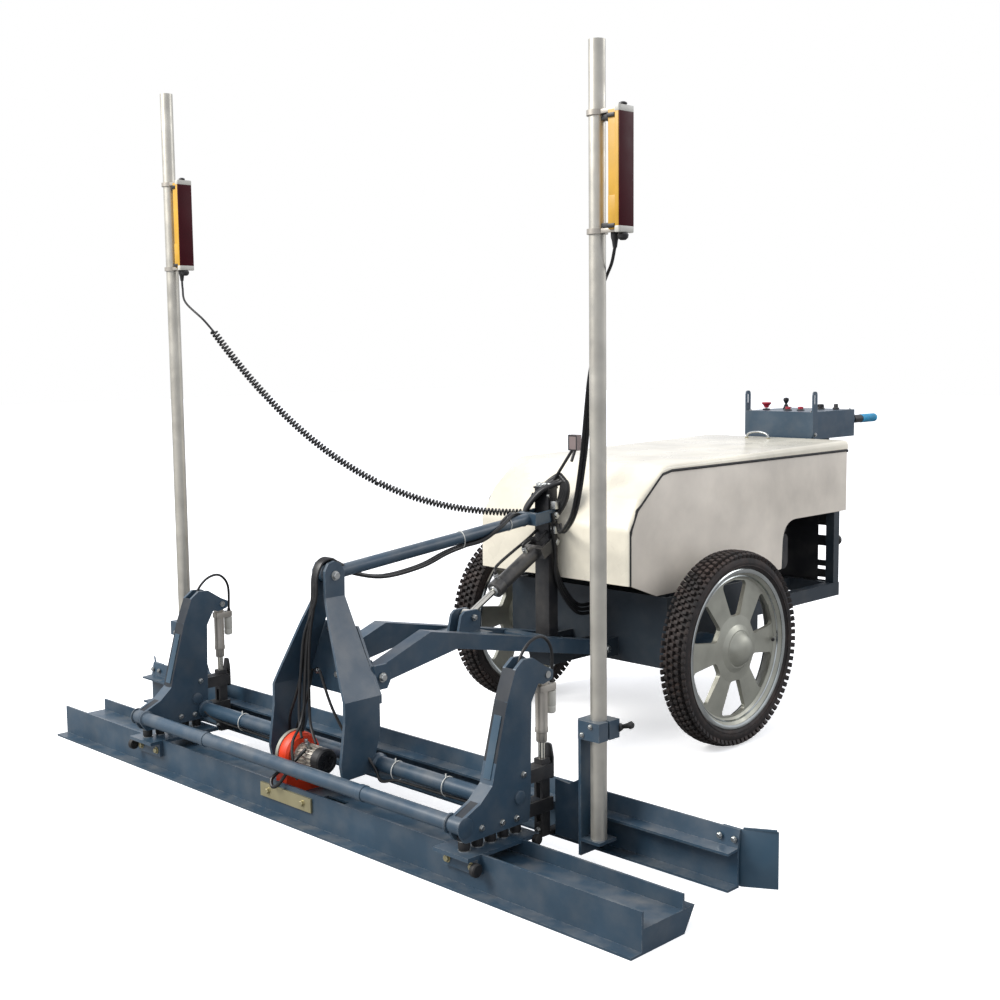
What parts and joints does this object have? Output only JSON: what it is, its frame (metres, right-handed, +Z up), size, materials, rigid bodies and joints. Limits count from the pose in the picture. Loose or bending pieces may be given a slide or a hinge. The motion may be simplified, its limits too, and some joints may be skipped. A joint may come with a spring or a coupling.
{
  "type": "walk-behind laser screed",
  "caption": "Two-wheeled walk-behind laser screed: a lifting fork carries a vibrating pan, a strike-off plow on electric actuators and two masts with laser receivers.",
  "frame": {"origin": "on the sole of the vibrating pan, at the foot of its front plate, on the machine's centre plane", "axes": "+X across the machine, towards the side of the vibrator motor; +Y from the pan back to the operator's handles; +Z up"},
  "size_m": [2.664, 2.9359, 2.107],
  "materials": {
    "slate_paint": "semi-gloss slate blue, dusty",
    "mast_metal": "satin drawn tube",
    "hood_paint": "gloss ivory",
    "panel_paint": "satin beige grey",
    "black_paint": "satin black",
    "rubber": "matt",
    "tyre": "dusty",
    "rim_cast": "silver paint with a polished lip",
    "bright_steel": "zinc plated",
    "chrome": "ground and chromed",
    "barrel_paint": "satin grey",
    "vibrator_paint": "gloss orange red",
    "motor_metal": "cast",
    "plate_zinc": "yellow passivated",
    "actuator_metal": "bead blasted",
    "receiver_yellow": "ochre",
    "button_red": "gloss",
    "knob_black": "fine texture",
    "grip_blue": "soft",
    "engine_metal": "dark grey",
    "tank_paint": "satin",
    "battery_case": "moulded",
    "cable_black": "semi-gloss sheath",
    "lamp_case": "moulded"
  },
  "bodies": {
    "chassis": {"chassis_frame": "slate_paint", "chassis_mast": "black_paint", "axle_beam": "slate_paint", "pivot_pins": "bright_steel", "engine": "engine_metal", "hydraulic_pump": "engine_metal", "oil_tank": "tank_paint", "battery": "battery_case", "fixed_panels": "panel_paint", "panel_trims": "rubber", "hood_hinges": "bright_steel", "console_box": "slate_paint", "handlebars": "slate_paint", "handle_grips": "grip_blue", "socket_box": "lamp_case", "signal_cable_rear": "cable_black"},
    "hood": {"hood_shell": "hood_paint", "hood_handle": "bright_steel"},
    "wheel_left": {"tyre_left": "tyre", "rim_left": "rim_cast", "hub_left": "rim_cast"},
    "wheel_right": {"tyre_right": "tyre", "rim_right": "rim_cast", "hub_right": "rim_cast"},
    "fork": {"lift_fork": "slate_paint", "fork_pins": "bright_steel"},
    "link": {"top_link": "slate_paint"},
    "barrel": {"cylinder_barrel": "barrel_paint"},
    "rod": {"cylinder_rod": "chrome"},
    "head": {"arm_frames": "slate_paint", "cross_tubes": "slate_paint", "tower_plates": "slate_paint", "tower_rear_plate": "slate_paint", "head_bolts": "bright_steel", "head_pins": "bright_steel", "isolators": "rubber", "hanger_bars": "slate_paint", "vibrating_pan": "slate_paint", "vibrator_housing": "vibrator_paint", "vibrator_motor": "motor_metal", "vibrator_base": "plate_zinc", "actuator_tubes": "actuator_metal"},
    "eccentric": {"eccentric_shaft": "bright_steel"},
    "plow": {"plow_blade": "slate_paint", "plow_wings": "slate_paint", "mast_brackets": "slate_paint", "masts": "mast_metal", "actuator_rods": "chrome", "plow_hangers": "black_paint"},
    "receiver_left": {"receiver_left": "receiver_yellow"},
    "receiver_right": {"receiver_right": "receiver_yellow"},
    "lever_left": {"clamp_lever_left": "knob_black"},
    "lever_right": {"clamp_lever_right": "knob_black"},
    "e_stop": {"e_stop_button": "button_red"},
    "start_button": {"start_button": "button_red"},
    "stop_button": {"stop_button": "button_red"},
    "speed_knob": {"speed_knob": "knob_black"},
    "joystick": {"joystick": "knob_black"},
    "cable_mid": {"signal_cable_mid": "cable_black"},
    "cable_front": {"signal_cable_front": "cable_black"}
  },
  "joints": [
    {"name": "wheel_left_spin", "type": "hinge", "parent": "chassis", "child": "wheel_left", "pos_m": [-0.466, 1.426, 0.318], "axis": [1, 0, 0], "continuous": true},
    {"name": "wheel_right_spin", "type": "hinge", "parent": "chassis", "child": "wheel_right", "pos_m": [0.466, 1.426, 0.318], "axis": [1, 0, 0], "continuous": true},
    {"name": "hood_open", "type": "hinge", "parent": "chassis", "child": "hood", "pos_m": [-0.333, 1.85, 0.897], "axis": [0, -1, 0], "range_deg": [0, 65]},
    {"name": "fork_lift", "type": "hinge", "parent": "chassis", "child": "fork", "pos_m": [0, 1.19, 0.305], "axis": [-1, 0, 0], "range_deg": [0, 12]},
    {"name": "tower_level", "type": "hinge", "parent": "fork", "child": "head", "pos_m": [0, 0.232, 0.381], "axis": [1, 0, 0], "range_deg": [-0.5, 19.6]},
    {"name": "link_swing", "type": "hinge", "parent": "chassis", "child": "link", "pos_m": [0, 1.056, 0.752], "axis": [-1, 0, 0], "range_deg": [-0.5, 12.5]},
    {"name": "cylinder_swing", "type": "hinge", "parent": "chassis", "child": "barrel", "pos_m": [0, 1.056, 0.664], "axis": [-1, 0, 0], "range_deg": [-0.5, 11.6]},
    {"name": "cylinder_stroke", "type": "slide", "parent": "barrel", "child": "rod", "axis": [0, -0.8767, -0.4811], "range_m": [-0.0802, 0.001]},
    {"name": "plow_lift", "type": "slide", "parent": "head", "child": "plow", "axis": [0, 0, 1], "range_m": [-0.05, 0.035]},
    {"name": "receiver_left_height", "type": "slide", "parent": "plow", "child": "receiver_left", "axis": [0, 0, 1], "range_m": [-0.12, 0.13]},
    {"name": "receiver_right_height", "type": "slide", "parent": "plow", "child": "receiver_right", "axis": [0, 0, 1], "range_m": [-0.12, 0.13]},
    {"name": "lever_left_turn", "type": "hinge", "parent": "plow", "child": "lever_left", "pos_m": [-0.934, 0.3, 0.375], "axis": [0, 1, 0], "range_deg": [-60, 30]},
    {"name": "lever_right_turn", "type": "hinge", "parent": "plow", "child": "lever_right", "pos_m": [0.934, 0.3, 0.375], "axis": [0, 1, 0], "range_deg": [-30, 60]},
    {"name": "eccentric_spin", "type": "hinge", "parent": "head", "child": "eccentric", "pos_m": [-0.045, 0.075, 0.162], "axis": [1, 0, 0], "continuous": true},
    {"name": "e_stop_press", "type": "slide", "parent": "chassis", "child": "e_stop", "axis": [0, 0, -1], "range_m": [0, 0.008]},
    {"name": "start_button_press", "type": "slide", "parent": "chassis", "child": "start_button", "axis": [0, 0, -1], "range_m": [0, 0.004]},
    {"name": "stop_button_press", "type": "slide", "parent": "chassis", "child": "stop_button", "axis": [0, 0, -1], "range_m": [0, 0.004]},
    {"name": "speed_knob_turn", "type": "hinge", "parent": "chassis", "child": "speed_knob", "pos_m": [0.04, 2.64, 1.04], "axis": [0, 0, 1], "range_deg": [-135, 135]},
    {"name": "joystick_tilt", "type": "hinge", "parent": "chassis", "child": "joystick", "pos_m": [-0.07, 2.56, 1.03], "axis": [1, 0, 0], "range_deg": [-12, 12]},
    {"name": "cable_rise", "type": "slide", "parent": "chassis", "child": "cable_mid", "axis": [0, -0.3926, 0.9197], "range_m": [-0.001, 0.2184]},
    {"name": "cable_plow_follow", "type": "slide", "parent": "cable_mid", "child": "cable_front", "axis": [0, 0, 1], "range_m": [-0.05, 0.035]}
  ],
  "couplings": [
    {"joint": "tower_level", "follows": "fork_lift", "ratio": 1.5966},
    {"joint": "link_swing", "follows": "fork_lift", "ratio": 0.99779},
    {"joint": "cylinder_swing", "follows": "fork_lift", "ratio": 0.92757},
    {"joint": "cylinder_stroke", "follows": "fork_lift", "m_per_rad": -0.38175},
    {"joint": "cable_rise", "follows": "fork_lift", "m_per_rad": 1.0333},
    {"joint": "cable_plow_follow", "follows": "plow_lift", "ratio": 1}
  ]
}
